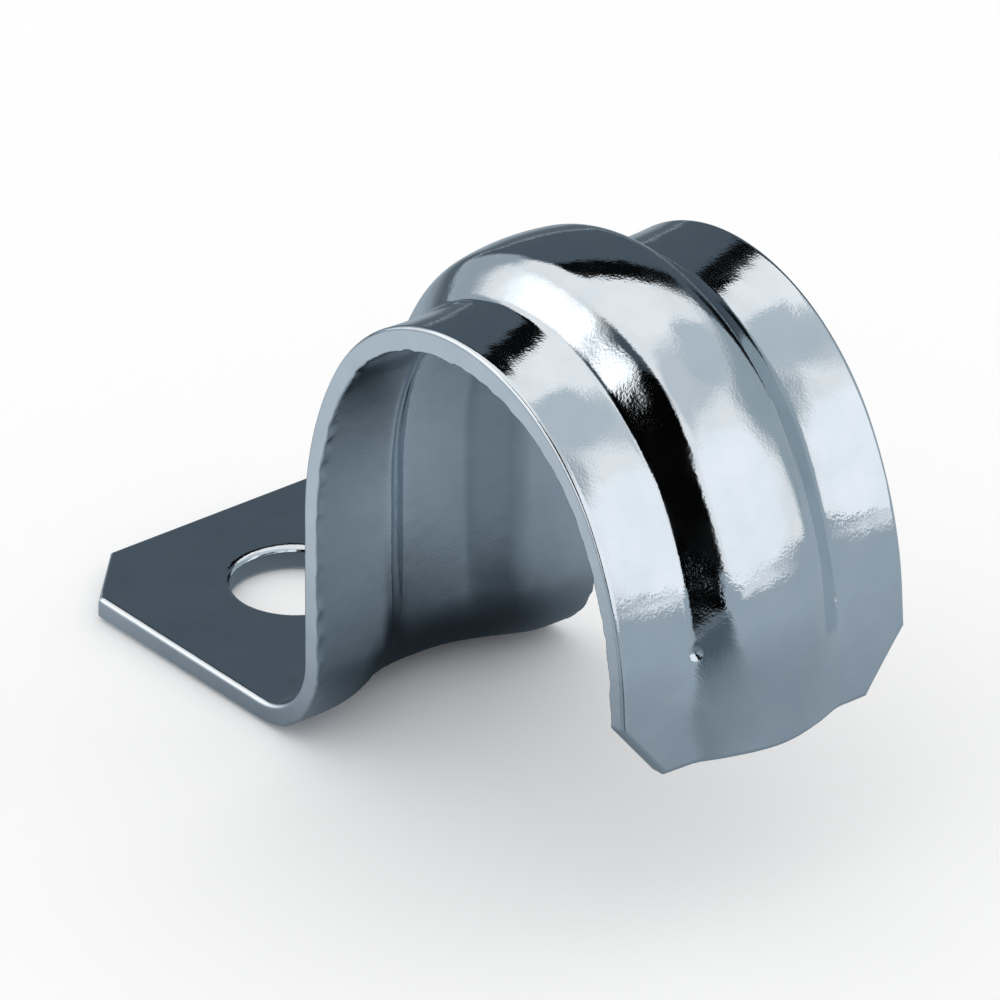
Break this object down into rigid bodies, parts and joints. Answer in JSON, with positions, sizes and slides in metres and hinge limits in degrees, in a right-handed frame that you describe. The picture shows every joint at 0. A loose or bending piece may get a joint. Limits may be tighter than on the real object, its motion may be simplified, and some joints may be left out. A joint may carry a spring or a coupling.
{
  "type": "conduit strap",
  "caption": "One-hole strap of folded sheet steel that fixes a round conduit to a wall, with a stiffening bead pressed along its middle.",
  "frame": {"origin": "centre of the screw hole on the mounting face", "axes": "+Z out of the wall along the screw, +X from the hole towards the conduit, Y along the conduit"},
  "size_m": [0.0514, 0.0192, 0.0331],
  "materials": {
    "zinc_plated_steel": "bright zinc plating over cold-rolled sheet steel, cut edges plated too"
  },
  "bodies": {
    "root": {"strap": "zinc_plated_steel"}
  },
  "joints": []
}
